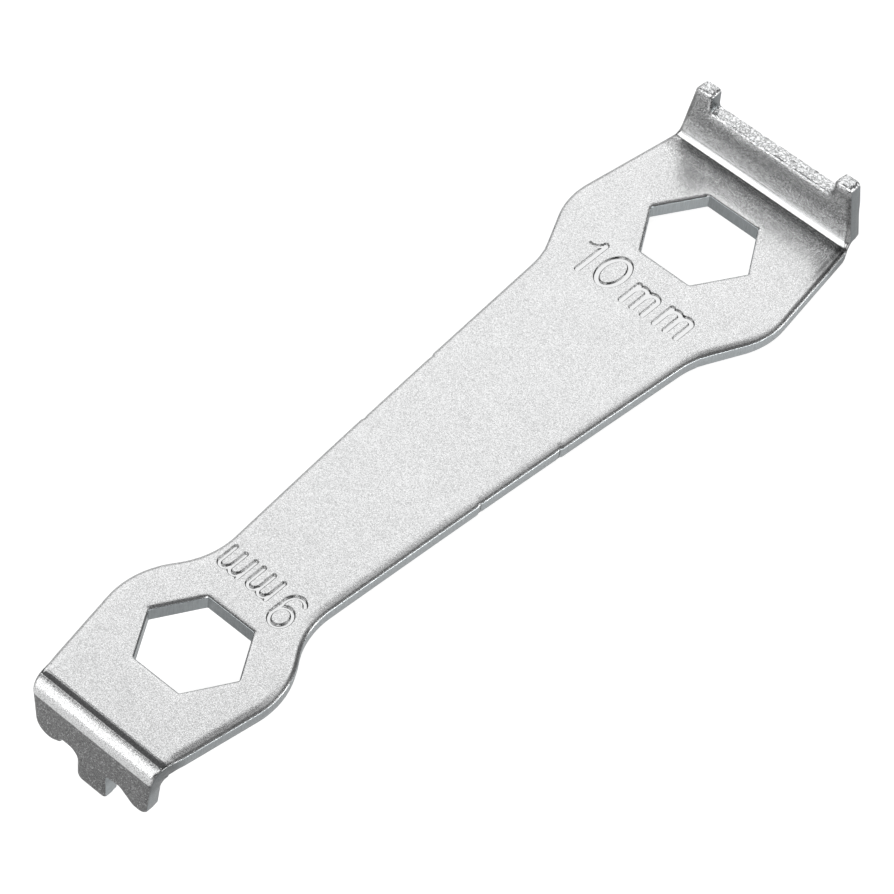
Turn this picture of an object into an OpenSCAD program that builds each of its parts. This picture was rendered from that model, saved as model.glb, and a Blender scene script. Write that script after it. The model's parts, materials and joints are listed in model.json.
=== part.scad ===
// Chainring bolt tool, pressed from one piece of sheet steel.
// A tapered handle joins two heads. Each head has a hexagon socket and a flange
// bent square to it: two pegs turn up at the big head and three teeth turn down
// at the small one. All sizes are in millimetres.

/* [Sheet] */
// Thickness of the steel sheet
sheet_t = 1.5; // [1.2:0.1:1.8]
// Angle that each flange is bent through
bend_deg = 91; // [88:0.5:92]
// Inside radius of the bend under the pegs
peg_bend_r = 0.5; // [0.3:0.1:1]
// Inside radius of the bend above the teeth
tooth_bend_r = 0.2; // [0.2:0.1:1]

/* [Sockets] */
// Width across flats of the big socket
big_socket = 10.1; // [9.5:0.1:11]
// Width across flats of the small socket
small_socket = 9.1; // [8.5:0.1:10]
// Distance between the centres of the two sockets
socket_pitch = 67.5; // [60:0.5:75]

/* [Big head] */
// Distance from the big socket's centre to the start of the peg bend
peg_bend_y = 8.85; // [8:0.05:11]
// Width of the sheet where the peg bend starts
peg_bend_w = 20.7; // [18:0.1:22]
// Width across the big head's corners, before they are rounded
big_head_w = 24.6; // [23:0.1:28]
// How far those corners lie behind the big socket's centre
big_head_back = 4.6; // [3:0.1:7]

/* [Handle] */
// Width where the handle leaves the big head
neck_w = 17.9; // [15:0.1:22]
// How far that neck lies behind the big socket's centre
neck_back = 11.8; // [10:0.1:16]
// Width of the handle at its narrow end
waist_w = 10.55; // [8:0.05:14]
// How far the narrow end lies in front of the small socket's centre
waist_front = 8.2; // [7.5:0.1:12]
// Radius of the rounded and hollow corners along the sides
side_r = 9; // [6:0.5:9.5]

/* [Small head] */
// Width across the small head's corners, before they are rounded
small_head_w = 18.5; // [17:0.1:22]
// How far those corners lie in front of the small socket's centre
small_head_front = 2.1; // [1:0.1:4]
// Distance from the small socket's centre to the start of the tooth bend
tooth_bend_y = 10.55; // [8:0.05:13]
// Width of the sheet where the tooth bend starts
tooth_bend_w = 14.4; // [13:0.1:17]

/* [Pegs] */
// Height of the pegs above the sheet's upper face
peg_top = 6.7; // [5.5:0.05:9]
// Height of the straight edge between the pegs
peg_floor = 4.65; // [3:0.05:5]
// Width across the outsides of the pegs at their tips
peg_span = 18.1; // [16:0.1:19]
// Width of the gap between the pegs at the straight edge
peg_gap = 14.4; // [12:0.1:15]
// Extra width of that gap at the tips of the pegs
peg_gap_flare = 0.1; // [0:0.05:0.6]
// Radius of the rounded tips
peg_tip_r = 0.5; // [0.2:0.05:0.7]

/* [Teeth] */
// Reach of the middle tooth below the sheet's upper face
tooth_reach = 8.85; // [7.5:0.05:11]
// Width of the middle tooth
tooth_w = 3.3; // [2.5:0.1:4]
// Radius of the middle tooth's corners
tooth_r = 0.75; // [0.3:0.05:1.2]
// Reach of the two outer teeth below the sheet's upper face
lobe_reach = 6.65; // [6:0.05:7]
// Width across the outer teeth
lobe_span = 12.9; // [12:0.1:14]
// Width across the inner corners of the outer teeth
lobe_gap = 8.4; // [8:0.1:9]
// Depth below the sheet's upper face where the notches end
notch_top = 5.6; // [5.2:0.05:5.9]
// Width across the outer corners of the two notches
notch_span = 6.4; // [5.8:0.1:6.8]
// Radius of the outer teeth's corners
lobe_r = 1.2; // [0.6:0.1:1.3]
// Radius of the notches' outer corners
notch_r = 0.5; // [0.2:0.1:0.7]
// Radius where the notches meet the middle tooth
tooth_root_r = 0.6; // [0.2:0.1:0.8]

/* [Hidden] */
arc_steps = 8;
bend_steps = 96;
spare = 5;

peg_bend_outer_r = peg_bend_r + sheet_t;
tooth_bend_outer_r = tooth_bend_r + sheet_t;
neck_to_end = socket_pitch + tooth_bend_y;
blank_w = big_head_w + spare;
flange_len = 2 * tooth_reach;

// The sides taper at these rates towards each bend, in width per length.
big_head_taper = (big_head_w - peg_bend_w) / (peg_bend_y + big_head_back);
small_head_taper = (small_head_w - tooth_bend_w) / (tooth_bend_y + small_head_front);

// The tool lies on the inner edge of its middle tooth and on the outside of the
// peg bend. The line under both makes this angle with the sheet.
tooth_lean = (tooth_reach - tooth_bend_outer_r) * tan(bend_deg - 90);
tooth_outer_y = -neck_to_end - tooth_bend_outer_r + tooth_lean;
tooth_foot = [tooth_outer_y + sheet_t / cos(bend_deg - 90), -tooth_reach];
bend_centre = [peg_bend_y, peg_bend_r];
foot_to_bend = bend_centre - tooth_foot;
rest_tilt = atan2(foot_to_bend[1], foot_to_bend[0]) - asin(peg_bend_outer_r / norm(foot_to_bend));

// Places of the two ends and of the foot once the tool lies down, as [y, z].
peg_lean = (peg_top - peg_bend_r) * tan(bend_deg - 90);
peg_tip = [peg_bend_y + peg_bend_r - peg_lean + sheet_t / cos(bend_deg - 90), peg_top];
rear_end = laid_down([tooth_outer_y, -tooth_reach])[0];
front_end = laid_down(peg_tip)[0];
floor_z = laid_down(tooth_foot)[1];

function laid_down(p) = [p[0] * cos(rest_tilt) + p[1] * sin(rest_tilt),
                         p[1] * cos(rest_tilt) - p[0] * sin(rest_tilt)];

// Points of the arc that rounds the corner b between a and c. The third value of
// b is the radius, and a corner with radius 0 stays sharp.
function round_corner(a, b, c) =
    b[2] == 0 ? [[b[0], b[1]]] :
    let (p = [b[0], b[1]],
         u = [a[0] - b[0], a[1] - b[1]] / norm([a[0] - b[0], a[1] - b[1]]),
         v = [c[0] - b[0], c[1] - b[1]] / norm([c[0] - b[0], c[1] - b[1]]),
         half = acos(u * v) / 2,
         centre = p + (u + v) / norm(u + v) * b[2] / sin(half),
         from = p + u * b[2] / tan(half) - centre,
         turn = (u[0] * v[1] - u[1] * v[0] > 0 ? -1 : 1) * (180 - 2 * half))
    [for (i = [0:arc_steps])
        let (angle = atan2(from[1], from[0]) + turn * i / arc_steps)
        centre + b[2] * [cos(angle), sin(angle)]];

function rounded(corners) =
    let (n = len(corners))
    [for (i = [0:n - 1]) each round_corner(corners[(i + n - 1) % n], corners[i], corners[(i + 1) % n])];

// Closes a right half outline with its mirror image across the middle line.
function both_halves(half) =
    concat(half, [for (i = [len(half) - 1:-1:0]) [-half[i][0], half[i][1], half[i][2]]]);

// Outline of the sheet seen from above, carried on past both bends.
module plan_outline() {
    y_front = peg_bend_y + spare;
    y_rear = -neck_to_end - spare;
    polygon(rounded(both_halves([
        [peg_bend_w / 2 - spare * big_head_taper / 2, y_front, 0],
        [big_head_w / 2, -big_head_back, side_r],
        [neck_w / 2, -neck_back, side_r],
        [waist_w / 2, waist_front - socket_pitch, side_r],
        [small_head_w / 2, small_head_front - socket_pitch, side_r],
        [tooth_bend_w / 2 - spare * small_head_taper / 2, y_rear, 0]])));
}

// Outline of the whole tool seen along the handle: pegs above the sheet, teeth below.
module end_outline() {
    wide = blank_w / 2;
    tip_w = peg_span / 2;
    lobe_root_w = tooth_bend_w / 2 - tooth_bend_outer_r * small_head_taper / 2;
    polygon(rounded(both_halves([
        [peg_gap / 2, peg_floor, 0],
        [(peg_gap + peg_gap_flare) / 2, peg_top, peg_tip_r],
        [tip_w, peg_top, peg_tip_r],
        [peg_bend_w / 2, 0, 0],
        [wide, 0, 0],
        [wide, -sheet_t, 0],
        [lobe_root_w, -sheet_t, 0],
        [lobe_span / 2, -lobe_reach, lobe_r],
        [lobe_gap / 2, -lobe_reach, lobe_r],
        [notch_span / 2, -notch_top, notch_r],
        [tooth_w / 2, -notch_top, tooth_root_r],
        [tooth_w / 2, -tooth_reach, tooth_r]])));
}

// A bend of the sheet about the X axis, from flat to bend_deg, and the straight flange after it.
module bent_end(inner_r) {
    translate([-blank_w / 2, 0, inner_r]) rotate([0, 90, 0]) {
        rotate_extrude(angle = bend_deg, $fn = bend_steps)
            translate([inner_r, 0]) square([sheet_t, blank_w]);
        rotate([0, 0, bend_deg]) translate([inner_r, 0, 0])
            cube([sheet_t, flange_len, blank_w]);
    }
}

// The sheet as a plain strip with both ends bent, before it is cut to shape.
module bent_strip() {
    translate([-blank_w / 2, -neck_to_end, -sheet_t])
        cube([blank_w, neck_to_end + peg_bend_y, sheet_t]);
    translate([0, peg_bend_y, 0]) bent_end(peg_bend_r);
    translate([0, -neck_to_end, -sheet_t]) rotate([0, 0, 180]) mirror([0, 0, 1])
        bent_end(tooth_bend_r);
}

// A hexagon hole through the sheet, with two flats square to the handle.
module socket(across_flats, y) {
    translate([0, y, -sheet_t - 1])
        cylinder(d = across_flats / cos(30), h = sheet_t + 2, $fn = 6);
}

module tool_body() {
    color("silver")
    translate([0, -(rear_end + front_end) / 2, -floor_z]) rotate([-rest_tilt, 0, 0])
    difference() {
        intersection() {
            bent_strip();
            translate([0, 0, -2 * tooth_reach])
                linear_extrude(2 * tooth_reach + 2 * peg_top) plan_outline();
            translate([0, peg_bend_y + spare, 0]) rotate([90, 0, 0])
                linear_extrude(neck_to_end + peg_bend_y + 2 * spare) end_outline();
        }
        socket(big_socket, 0);
        socket(small_socket, -socket_pitch);
    }
}

tool_body();
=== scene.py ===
# %% [markdown]
# # Chainring bolt tool
# A flat hand tool pressed from one piece of 1.5 mm sheet steel. Each end has a hexagon hole and a
# flange bent square to the handle: two pegs turn up at the big end, three teeth turn down at the small
# one. The CAD part gives place and size. This lesson makes the surface of the real pressing: rolled
# edges, torn cuts, folds, pressed size marks and a sandy zinc plating.

import json
import math

import bmesh
import bpy
import numpy as np
from mathutils.geometry import delaunay_2d_cdt
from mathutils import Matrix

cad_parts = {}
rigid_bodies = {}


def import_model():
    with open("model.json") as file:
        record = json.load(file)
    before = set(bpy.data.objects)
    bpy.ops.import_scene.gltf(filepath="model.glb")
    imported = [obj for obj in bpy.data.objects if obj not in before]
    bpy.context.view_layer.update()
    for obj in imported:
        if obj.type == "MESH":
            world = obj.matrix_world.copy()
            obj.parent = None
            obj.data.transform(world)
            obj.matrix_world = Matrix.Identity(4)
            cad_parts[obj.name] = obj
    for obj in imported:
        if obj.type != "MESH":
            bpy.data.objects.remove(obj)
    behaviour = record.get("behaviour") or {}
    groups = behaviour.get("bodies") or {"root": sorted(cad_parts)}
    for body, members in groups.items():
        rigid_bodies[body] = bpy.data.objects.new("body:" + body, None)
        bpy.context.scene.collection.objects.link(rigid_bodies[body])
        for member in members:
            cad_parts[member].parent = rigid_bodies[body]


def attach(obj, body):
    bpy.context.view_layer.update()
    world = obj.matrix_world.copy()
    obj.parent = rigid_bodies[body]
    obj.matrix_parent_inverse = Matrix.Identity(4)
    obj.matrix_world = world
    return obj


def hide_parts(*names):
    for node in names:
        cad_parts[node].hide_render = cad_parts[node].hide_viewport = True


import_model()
scene = bpy.context.scene
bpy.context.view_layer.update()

# %% [markdown]
# ## Sizes
# These sizes drive the CAD part, in millimetres. Everything is worked out on the flat blank and then
# carried through the two folds, as the real tool is made, because a flat outline is easier to draw. A
# place on the blank is x across it and s along it.

# %% Sheet, sockets and folds
SHEET = 1.5
FOLD = math.radians(91)
PEG_FOLD_Y, PEG_FOLD_R = 8.85, 0.5
TOOTH_FOLD_Y, TOOTH_FOLD_R = -78.05, 0.2
BIG_SOCKET, SMALL_SOCKET, SMALL_SOCKET_Y = 10.1, 9.1, -67.5
PEG_TOP, PEG_FLOOR = 6.7, 4.65
TOOTH_REACH = 8.85

# Middle radius of each fold, and where each flange starts on the flat blank
peg_mid_r = PEG_FOLD_R + SHEET / 2
tooth_mid_r = TOOTH_FOLD_R + SHEET / 2
peg_flange_s = PEG_FOLD_Y + peg_mid_r * FOLD
tooth_flange_s = TOOTH_FOLD_Y - tooth_mid_r * FOLD
print("flanges start at", round(peg_flange_s, 2), "and", round(tooth_flange_s, 2), "mm on the blank")

# %% [markdown]
# ## How the tool lies
# On a bench it rests on the inner edge of its middle tooth and on the outside of the peg fold. The
# line under both gives the angle between the sheet and the bench.

# %% Angle and place at rest
lean = FOLD - math.pi / 2
tooth_out_y = TOOTH_FOLD_Y - TOOTH_FOLD_R - SHEET + (TOOTH_REACH - TOOTH_FOLD_R - SHEET) * math.tan(lean)
foot = (tooth_out_y + SHEET / math.cos(lean), -TOOTH_REACH)
to_fold = (PEG_FOLD_Y - foot[0], PEG_FOLD_R - foot[1])
tilt = math.atan2(to_fold[1], to_fold[0]) - math.asin((PEG_FOLD_R + SHEET) / math.hypot(*to_fold))
peg_lean = (PEG_TOP - PEG_FOLD_R) * math.tan(lean)
peg_tip = (PEG_FOLD_Y + PEG_FOLD_R - peg_lean + SHEET / math.cos(lean), PEG_TOP)


def lay_down(y, z):
    """Turns points of the sheet about the X axis by the resting angle."""
    return (y * math.cos(tilt) + z * math.sin(tilt), z * math.cos(tilt) - y * math.sin(tilt))


rest_y = -(lay_down(tooth_out_y, -TOOTH_REACH)[0] + lay_down(*peg_tip)[0]) / 2
rest_z = -lay_down(*foot)[1]
print("the sheet lies at", round(math.degrees(tilt), 3), "degrees")

# %% [markdown]
# ## The crease inside the peg fold
# The punch has pressed a sharp crease at the foot of the upturned flange. Above it the inner face leans
# back for a while before it stands upright. That soft curve catches the front light, so it gets a law
# of its own.

# %% Crease law
CREASE_TOP, CREASE_SLOPE, CREASE_FADE = 0.35, 1.3, 0.58
CREASE_PAST_START = 0.07


def crease(height, up):
    """How far the inner face moves away from the handle, against a plain bend, in millimetres.

    Up to the crease's top it climbs at a steady slope. Above, what is still missing to upright shrinks
    with the exponential of the height. The crease lies a little past the fold's start, which fades too.
    """
    missing = (1 - CREASE_SLOPE * CREASE_TOP) * np.exp(-np.maximum(height - CREASE_TOP, 0) / CREASE_FADE)
    reached = np.where(height < CREASE_TOP, CREASE_SLOPE * height, 1 - missing)
    return PEG_FOLD_R * (reached - np.sin(up)) + CREASE_PAST_START * np.exp(-height)


print("1 mm up, the crease moves the inner face by", round(float(crease(1.0, FOLD)), 3), "mm")

# %% [markdown]
# ## What bending does to the steel
# Steel stretches on the outside of a bend and piles up on its inside. So the ends of the peg fold draw
# in on the outside and bulge on the inside, and the hollow under the tooth fold is rounder than the
# die. The press has also bowed the handle sideways a little.

# %% Shifts across and under the folds
BULGE, DRAW_IN = 0.018, 0.112
ROUNDER, SPREAD, SPREAD_BY = 1.8, 1.6, 0.03
BOW, BOW_MIDDLE, BOW_LENGTH = 0.17, -38, 68


def bent_across(x, s, up, deep):
    """Place across the sheet after bending; deep is 0 on the upper face and 1 on the lower one.

    The peg fold's ends move by a sine of the bend's angle. Under the tooth fold the narrowing of the
    outline is spread over the rounder hollow with straight ramps. The bow is a squared cosine.
    """
    x = x * (1 + np.sin(up / FOLD * math.pi) * (BULGE - DRAW_IN * deep))
    ramp = [tooth_flange_s - SPREAD, tooth_flange_s, TOOTH_FOLD_Y, TOOTH_FOLD_Y + SPREAD]
    x = x * (1 + np.interp(s, ramp, [0, SPREAD_BY, -SPREAD_BY, 0]) * deep)
    return x - BOW * np.cos(math.pi * np.clip((s - BOW_MIDDLE) / BOW_LENGTH, -0.5, 0.5)) ** 2


def rounded_hollow(y, z, deep):
    """Draws the steel under the tooth fold on to a circle that touches the plate and the flange.

    A point outside the circle goes the rest of the way to it, times the cube of its depth, so that the
    upper face stays where it is.
    """
    from_y, from_z = y - (TOOTH_FOLD_Y + ROUNDER - TOOTH_FOLD_R), z + SHEET + ROUNDER
    away = np.hypot(from_y, from_z)
    outside = (from_y < 0) & (from_z > 0) & (away > ROUNDER)
    pull = np.where(outside, ROUNDER / np.maximum(away, ROUNDER) - 1, 0) * np.clip(deep, 0, 1) ** 3
    return y + pull * from_y, z + pull * from_z


print("a point 10 mm out on the peg fold's back goes to", round(float(bent_across(10, 9.8, FOLD / 2, 1)), 2))

# %% [markdown]
# ## From the flat blank to the tool
# One function carries any point of the blank through the folds and lays the tool down. Breaking the
# upper edge off has pushed the back of the peg flange out a little, and that is added here too.

# %% Fold
PUSHED, PUSHED_FROM, PUSHED_TO = 0.15, 2.4, 4.2


def smooth(low, high, value):
    """0 below low, 1 above high and a cubic ease between them."""
    t = np.clip((value - low) / (high - low), 0, 1)
    return t * t * (3 - 2 * t)


def fold(blank):
    """Carries blank points (x, s, depth below the upper face) to the tool as it lies, in metres.

    Along the blank a fold is an arc whose angle grows with s about its middle radius, so a point's
    own radius is the inside radius plus or minus its depth. Past the arc the flange is straight.
    """
    x, s, depth = blank.T
    deep = depth / SHEET
    up = np.clip((s - PEG_FOLD_Y) / peg_mid_r, 0, FOLD)
    down = np.clip((TOOTH_FOLD_Y - s) / tooth_mid_r, 0, FOLD)
    past_up = np.maximum(s - peg_flange_s, 0)
    past_down = np.maximum(tooth_flange_s - s, 0)
    r_up = PEG_FOLD_R + depth
    r_down = TOOTH_FOLD_R + SHEET - depth
    y = np.clip(s, TOOTH_FOLD_Y, PEG_FOLD_Y)
    y = y + r_up * np.sin(up) + past_up * np.cos(up) - r_down * np.sin(down) - past_down * np.cos(down)
    height = r_up * (1 - np.cos(up)) + past_up * np.sin(up)
    drop = r_down * (1 - np.cos(down)) + past_down * np.sin(down)
    y = y + np.where(s > PEG_FOLD_Y, crease(height, up) * np.clip(1 - deep, 0, 1), 0)
    y = y + PUSHED * smooth(peg_flange_s + PUSHED_FROM, peg_flange_s + PUSHED_TO, s) * deep
    y, z = lay_down(*rounded_hollow(y, height - drop - depth, deep))
    return np.stack([bent_across(x, s, up, deep), y + rest_y, z + rest_z], 1) / 1000


print("the big socket's centre comes to", fold(np.array([[0.0, 0.0, 0.0]])).round(4)[0], "m")

# %% [markdown]
# ## The camera
# The camera stands where the photograph was taken from, found from the corners of both hexagons and
# the edges of the flanges: about 0.39 m away with a long lens.

# %% Camera
camera = bpy.data.objects.new("camera", bpy.data.cameras.new("camera"))
scene.collection.objects.link(camera)
camera.location = (0.141996, -0.174785, 0.304655)
camera.rotation_euler = [math.radians(a) for a in (36.66496, -2.03251, 41.83435)]
camera.data.sensor_fit = "HORIZONTAL"
camera.data.sensor_width = 36
camera.data.lens = 171.01
camera.data.shift_x, camera.data.shift_y = -0.00498, 0.00721
camera.data.clip_start = 0.01
scene.camera = camera
scene.view_settings.view_transform = "Standard"
print("camera at", tuple(round(v, 4) for v in camera.location))

# %% [markdown]
# ## Small helpers
# A node material is easier to read when a node and its settings are made in one line. The finishes
# below are made of products, eases, distances from a place, and changes where a mask says so.


# %% Helpers for node trees
def add_node(tree, kind, **settings):
    """Adds a shader node and sets its properties, or its inputs where the name is an input."""
    node = tree.nodes.new(kind)
    for name, value in settings.items():
        if hasattr(node, name):
            setattr(node, name, value)
        else:
            node.inputs[name.replace("_", " ")].default_value = value
    return node


def math_node(operation, a, b=0.0, c=None):
    """One Math node, in the tree of its inputs: sockets or numbers. Gives its output socket."""
    tree = next(value for value in (a, b, c) if hasattr(value, "id_data")).id_data
    node = add_node(tree, "ShaderNodeMath", operation=operation)
    for socket, value in zip(node.inputs, (a, b, c)):
        if isinstance(value, (int, float)):
            socket.default_value = value
        elif value is not None:
            tree.links.new(value, socket)
    return node.outputs[0]


def product(first, *others):
    """Product of two or more values."""
    for other in others:
        first = math_node("MULTIPLY", first, other)
    return first


def change_where(tone, mask, change):
    """The tone times one plus the change where the mask is 1, and as it was where the mask is 0."""
    return math_node("MULTIPLY", tone, math_node("MULTIPLY_ADD", mask, change, 1.0))


def away_from(value, place):
    """Distance of a value from a place."""
    return math_node("ABSOLUTE", math_node("SUBTRACT", value, place))


def ease(value, low, high, to_low=0.0, to_high=1.0):
    """A Map Range node that eases from to_low at low to to_high at high."""
    node = add_node(value.id_data, "ShaderNodeMapRange", interpolation_type="SMOOTHSTEP",
                    From_Min=low, From_Max=high, To_Min=to_low, To_Max=to_high)
    value.id_data.links.new(value, node.inputs["Value"])
    return node.outputs[0]


def texture(kind, place, **settings):
    """A texture node that reads a place, with its settings."""
    node = add_node(place.id_data, kind, **settings)
    place.id_data.links.new(place, node.inputs["Vector"])
    return node


print("helpers ready")

# %% [markdown]
# ## The stage
# The photograph has a pure white ground. The floor is a grey sheet that glows only to the camera and
# to mirror-like surfaces, so the ground is white but throws little light up under the tool.

# %% Floor
PAPER_GREY, GLOW_TO_CAMERA, GLOW_IN_MIRRORS = 0.5, 0.8, 0.3
floor_mesh = bpy.data.meshes.new("floor")
floor_mesh.from_pydata([(-3, -3, 0), (3, -3, 0), (3, 3, 0), (-3, 3, 0)], [], [(0, 1, 2, 3)])
floor = bpy.data.objects.new("floor", floor_mesh)
scene.collection.objects.link(floor)
paper = bpy.data.materials.new("white_paper")
paper.use_nodes = True
tree = paper.node_tree
shader = tree.nodes["Principled BSDF"]
shader.inputs["Base Color"].default_value = (PAPER_GREY, PAPER_GREY, PAPER_GREY, 1)
shader.inputs["Roughness"].default_value = 0.9
shader.inputs["Specular IOR Level"].default_value = 0.1
shader.inputs["Emission Color"].default_value = (1, 1, 1, 1)
paths = add_node(tree, "ShaderNodeLightPath")
glow = math_node("MULTIPLY", paths.outputs["Is Camera Ray"], GLOW_TO_CAMERA)
glow = math_node("MULTIPLY_ADD", paths.outputs["Is Glossy Ray"], GLOW_IN_MIRRORS, glow)
tree.links.new(glow, shader.inputs["Emission Strength"])
floor_mesh.materials.append(paper)
print("the floor glows", GLOW_TO_CAMERA, "to the camera")

# %% [markdown]
# ## The lights
# Metal has almost no colour of its own, so the lights matter as much as the finish. The plate mirrors
# the large light behind the tool on the left, the flanges and teeth the one in front on the left, the
# marks' walls a dim one behind, and the right cut edge a low strip. A small light on the camera's side
# opens the shadows.

# %% Lamps and surroundings
world = scene.world or bpy.data.worlds.new("studio")
scene.world = world
world.use_nodes = True
world.node_tree.nodes["Background"].inputs["Color"].default_value = (0.12, 0.12, 0.122, 1)
world.node_tree.nodes["Background"].inputs["Strength"].default_value = 1.0
LAMP_DISTANCE = 0.9


def softbox(name, direction, tall, wide, level):
    """An area lamp that faces the tool from a direction. Level is the brightness of its surface."""
    lamp = bpy.data.lights.new(name, "AREA")
    lamp.shape, lamp.size, lamp.size_y = "RECTANGLE", tall, wide
    lamp.energy = level * math.pi * tall * wide
    box = bpy.data.objects.new(name, lamp)
    scene.collection.objects.link(box)
    along = np.array(direction) / np.linalg.norm(direction)
    box.location = along * LAMP_DISTANCE
    box.rotation_euler = (0, math.acos(along[2]), math.atan2(along[1], along[0]))
    print(name, "at", [round(v, 2) for v in box.location], "level", level)


softbox("back_left_light", (-0.55, 0.66, 0.57), 0.9, 1.3, 1.16)
softbox("front_left_light", (-0.42, -0.80, 0.46), 0.75, 0.9, 1.7)
softbox("back_right_light", (0.23, 0.57, 0.79), 0.36, 0.5, 0.55)
softbox("low_right_light", (0.92, 0.37, 0.22), 0.22, 1.0, 4.5)
softbox("camera_side_light", (0.45, -0.55, 0.75), 0.5, 0.5, 3.0)

# %% [markdown]
# ## The outline of the blank
# The press cuts the outline from flat sheet. Here it is a closed path through a few corners, each
# rounded with an arc, in short steps that can carry the cut edge's profile round the path later.


# %% Rounded outlines
def rounded_loop(corners, step):
    """Closed path through corners (x, y, radius), cut into lengths of about one step.

    At each corner the arc's centre lies on the bisector, radius / sin(half the corner's angle) away,
    and it starts radius / tan(half the angle) before the corner.
    """
    c = np.array(corners, float)
    p, r = c[:, :2], c[:, 2:]
    back, on = np.roll(p, 1, 0) - p, np.roll(p, -1, 0) - p
    back /= np.linalg.norm(back, axis=1, keepdims=True)
    on /= np.linalg.norm(on, axis=1, keepdims=True)
    half = np.arccos((back * on).sum(1, keepdims=True)) / 2
    middle = back + on
    centre = p + middle / np.linalg.norm(middle, axis=1, keepdims=True) * r / np.sin(half)
    start, end = p + back * r / np.tan(half), p + on * r / np.tan(half)
    side = np.where(back[:, 0] * on[:, 1] - back[:, 1] * on[:, 0] > 0, -1, 1)
    turn = side * (math.pi - 2 * half[:, 0])
    runs = []
    for i in range(len(p)):
        n = max(2, math.ceil(abs(r[i, 0] * turn[i]) / step))
        a = math.atan2(*(start[i] - centre[i])[::-1]) + turn[i] * np.linspace(0, 1, n + 1)
        runs.append(centre[i] + r[i, 0] * np.stack([np.cos(a), np.sin(a)], 1))
        following = start[(i + 1) % len(p)]
        n = max(1, math.ceil(np.linalg.norm(following - end[i]) / step))
        runs.append(end[i] + (following - end[i]) * (np.arange(1, n) / n)[:, None])
    return np.concatenate(runs)


def outward(loop):
    """Offset by one, square to both edges at each point of a closed path, but kept short at corners."""
    edge = np.roll(loop, -1, 0) - loop
    edge /= np.linalg.norm(edge, axis=1, keepdims=True)
    n = np.stack([-edge[:, 1], edge[:, 0]], 1)
    before = np.roll(n, 1, 0)
    return (n + before) / np.maximum(1 + (n * before).sum(1, keepdims=True), 0.4)


print("a round square has", len(rounded_loop([(0, 0, 1), (0, 9, 1), (9, 9, 1), (9, 0, 1)], 0.5)), "points")

# %% [markdown]
# ## The corners
# The corners run clockwise from the gap between the pegs. The two sides are alike, but the real ones
# differ by up to 0.15 mm, and the left outer tooth was cut slantwise and ends in a small point.


# %% Corners of the blank
def peg_s(height):
    """Place on the blank that ends up at a height above the sheet's upper face."""
    return peg_flange_s + height - PEG_FOLD_R


def tooth_s(reach):
    """Place on the blank that ends up at a depth below the sheet's upper face."""
    return tooth_flange_s - (reach - SHEET - TOOTH_FOLD_R)


STEP = 0.2
BIG_HEAD_S, NECK_S, WAIST_S, SMALL_HEAD_S, SIDE_R = -4.6, -11.8, -59.3, -65.4, 9
BEFORE_FOLD_S, AFTER_FOLD_S, FOLD_END_R = 8.7, 10.7, 3
right_side = [
    (7.2, peg_s(PEG_FLOOR), 0.7), (7.3, peg_s(PEG_TOP), 0.5), (9.2, peg_s(PEG_TOP), 0.6),
    (10.33, AFTER_FOLD_S, FOLD_END_R), (10.52, BEFORE_FOLD_S, FOLD_END_R), (12.36, BIG_HEAD_S, SIDE_R),
    (9.03, NECK_S, SIDE_R), (5.38, WAIST_S, SIDE_R), (9.28, SMALL_HEAD_S, SIDE_R)]
right_teeth = [
    (7.28, -78.05, 3), (6.84, -79.7, 3), (6.44, tooth_s(6.5), 0.9), (4.86, tooth_s(6.48), 1.0),
    (3.32, tooth_s(5.38), 0.7), (1.68, tooth_s(5.6), 0.45), (1.8, tooth_s(8.7), 0.38)]
left_teeth = [
    (-1.6, tooth_s(TOOTH_REACH - 0.14), 0.75), (-1.66, tooth_s(5.38), 0.95), (-3.44, tooth_s(5.38), 0.3),
    (-3.7, tooth_s(5.94), 0.1), (-4.5, tooth_s(6.38), 1.5), (-6.42, tooth_s(6.42), 1.6), (-6.9, -79.7, 3),
    (-7.08, -78.7, 2), (-7.3, -77.6, 1.5)]
left_side = [
    (-9.5, SMALL_HEAD_S, SIDE_R), (-5.5, WAIST_S, SIDE_R), (-9.06, NECK_S, SIDE_R),
    (-12.4, BIG_HEAD_S, SIDE_R), (-10.56, BEFORE_FOLD_S, FOLD_END_R), (-10.33, AFTER_FOLD_S, FOLD_END_R),
    (-9.33, peg_s(PEG_TOP) - 0.02, 0.6), (-7.36, peg_s(PEG_TOP), 0.5), (-7.3, peg_s(PEG_FLOOR), 0.25)]
outline = rounded_loop(right_side + right_teeth + left_teeth + left_side, STEP)
print("the outline has", len(outline), "points and is", round(np.ptp(outline[:, 0]), 2), "mm wide")

# %% [markdown]
# ## Witness steps
# The punch cuts each long side in several bites, and where one bite meets the next it leaves a small
# step or a nick. They are short ramps in the outline, about a tenth of a millimetre high, so the walls
# and the rolled corner follow them.

# %% Steps and nicks
STEP_DEEP, NICK_DEEP = 0.07, 0.05
# Place along the blank, half width and part of the depth
NICKS = ((-38.3, 0.3, 1), (-28.6, 0.35, 1), (-11.2, 0.3, 0.7))
on_side, s_out = np.abs(outline[:, 0]) > 4, outline[:, 1]
between = smooth(-38.75, -38.45, s_out) * (1 - smooth(-28.55, -28.2, s_out))
nick = sum(part * (1 - smooth(0, width, np.abs(s_out - s))) for s, width, part in NICKS)
outline = outline - outward(outline) * ((STEP_DEEP * between + NICK_DEEP * nick) * on_side)[:, None]
print("the middle bite has", int((between * on_side > 0.5).sum()), "points on both sides")

# %% [markdown]
# ## The two sockets
# Each hexagon is a closed path that runs the other way round, so that the same outward offset points
# into the hole. Its corners keep the small radius of the punch.

# %% Hexagon holes
HEX_CORNER_R, HEX_STEP = 0.15, 0.25


def hexagon(across_flats, y):
    """Corners of a hexagon with two flats square to the handle, rounded a little."""
    a = np.radians(60 * np.arange(6))
    radius = across_flats / 2 / math.cos(math.radians(30))
    corners = np.stack([radius * np.cos(a), y + radius * np.sin(a), np.full(6, HEX_CORNER_R)], 1)
    return rounded_loop(corners, HEX_STEP)


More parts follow.
